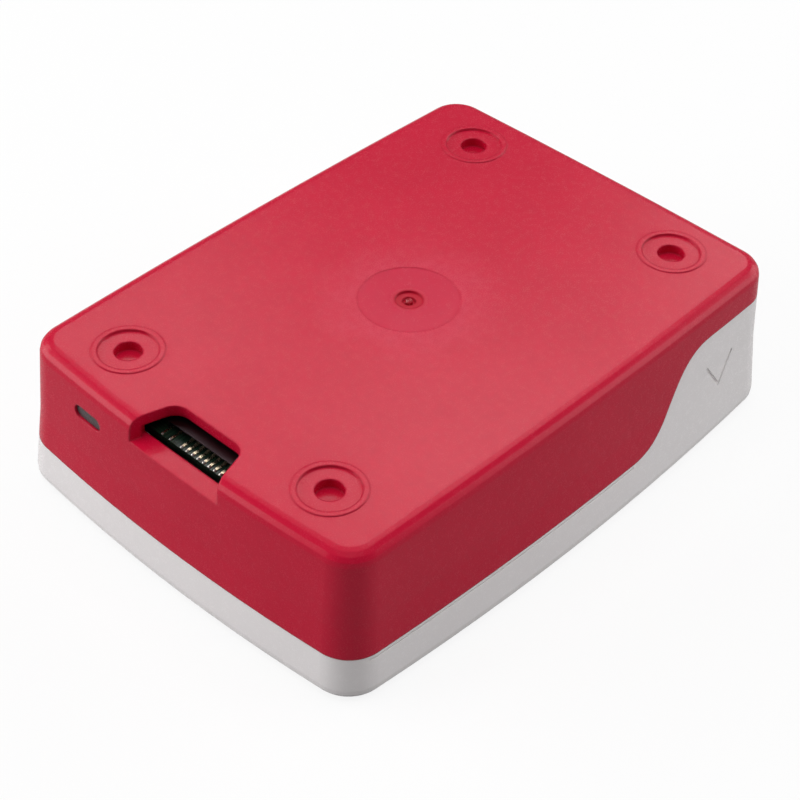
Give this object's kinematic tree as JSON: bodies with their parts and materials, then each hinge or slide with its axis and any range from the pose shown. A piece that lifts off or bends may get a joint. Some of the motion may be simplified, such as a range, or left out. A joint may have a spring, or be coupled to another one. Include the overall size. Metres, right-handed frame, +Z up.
{
  "type": "single board computer case",
  "caption": "Two-piece moulded case with a small computer board inside, lying on its lid, with a card cut-out, port windows and foot recesses.",
  "frame": {"origin": "centre of the lid's flat outer face, which it lies on", "axes": "+X along the length towards the large ports, +Y across towards the small sockets, +Z up towards the base's underside with its foot recesses"},
  "size_m": [0.0966, 0.0718, 0.0253],
  "materials": {
    "lid_plastic": "satin",
    "base_plastic": "satin",
    "smoke_plastic": "smoke grey, slightly clear",
    "board_green": "solder mask",
    "black_plastic": "matte",
    "cream_plastic": "matte",
    "plated_steel": "bright plated",
    "gold_plate": "thin gold plating",
    "tin_plate": "tinned",
    "chip_black": "moulded",
    "chip_substrate": "laminate",
    "spreader_metal": "nickel plated",
    "ferrite": "moulded",
    "lamp_clear": "clear resin",
    "capacitor_tan": "fired"
  },
  "bodies": {
    "lid_body": {"lid": "lid_plastic"},
    "base_body": {"base": "base_plastic", "light_pipe": "smoke_plastic", "circuit_board": "board_green", "card_socket_body": "black_plastic", "card_socket_cover": "plated_steel", "card_socket_contacts": "tin_plate", "power_socket_shell": "plated_steel", "power_socket_tongue": "black_plastic", "video_socket_shell_1": "plated_steel", "video_socket_tongue_1": "black_plastic", "video_socket_shell_2": "plated_steel", "video_socket_tongue_2": "black_plastic", "sound_jack": "black_plastic", "port_stack_shell_1": "plated_steel", "port_stack_core_1": "black_plastic", "port_stack_shell_2": "plated_steel", "port_stack_core_2": "black_plastic", "network_jack_shell": "plated_steel", "network_jack_insert": "black_plastic", "network_jack_contacts": "gold_plate", "pin_header_strip": "black_plastic", "pin_header_pins": "gold_plate", "aux_header_strip": "black_plastic", "aux_header_pins": "gold_plate", "display_connector": "cream_plastic", "camera_connector": "cream_plastic", "processor": "chip_substrate", "heat_spreader": "spreader_metal", "memory_chip": "chip_black", "port_controller": "chip_black", "network_chip": "chip_black", "wireless_shield": "plated_steel", "power_chip": "chip_black", "inductors": "ferrite", "crystals": "tin_plate", "status_lights": "lamp_clear", "capacitors": "capacitor_tan"},
    "display_latch_body": {"display_latch": "black_plastic"},
    "camera_latch_body": {"camera_latch": "black_plastic"}
  },
  "joints": [
    {"name": "base_lift", "type": "slide", "parent": "lid_body", "child": "base_body", "axis": [0, 0, 1], "range_m": [0, 0.035]},
    {"name": "display_latch_slide", "type": "slide", "parent": "base_body", "child": "display_latch_body", "axis": [0, 0, -1], "range_m": [0, 0.0012]},
    {"name": "camera_latch_slide", "type": "slide", "parent": "base_body", "child": "camera_latch_body", "axis": [0, 0, -1], "range_m": [0, 0.0012]}
  ]
}
